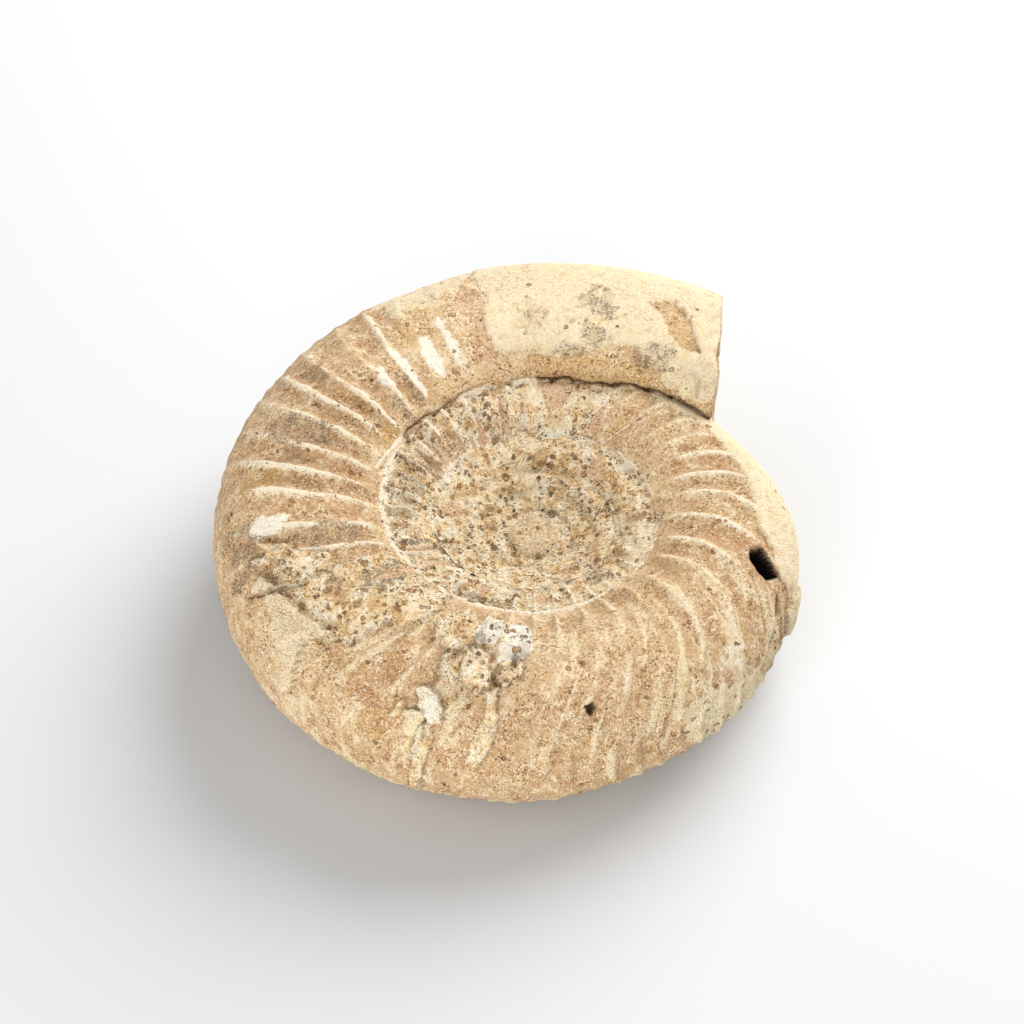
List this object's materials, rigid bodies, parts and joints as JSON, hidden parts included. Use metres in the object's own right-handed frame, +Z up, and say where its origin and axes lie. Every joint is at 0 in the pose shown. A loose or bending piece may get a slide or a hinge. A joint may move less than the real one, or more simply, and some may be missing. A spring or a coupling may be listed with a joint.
{
  "type": "ammonite fossil",
  "caption": "Coiled ribbed ammonite turned to pale tan limestone, lying on its side, with a worn umbilicus and a broken mouth.",
  "frame": {"origin": "middle of the bounding box, on the surface it lies on", "axes": "+Z up through the thickness, close to the coil's axis; +Y along the longest extent; the broken mouth faces +X"},
  "size_m": [0.1092, 0.1202, 0.0403],
  "materials": {
    "fossil_limestone": "matt, rough, worn limestone: tan in the troughs, cream on the rib crests, with ochre grains"
  },
  "bodies": {
    "root": {"ammonite": "fossil_limestone"}
  },
  "joints": []
}
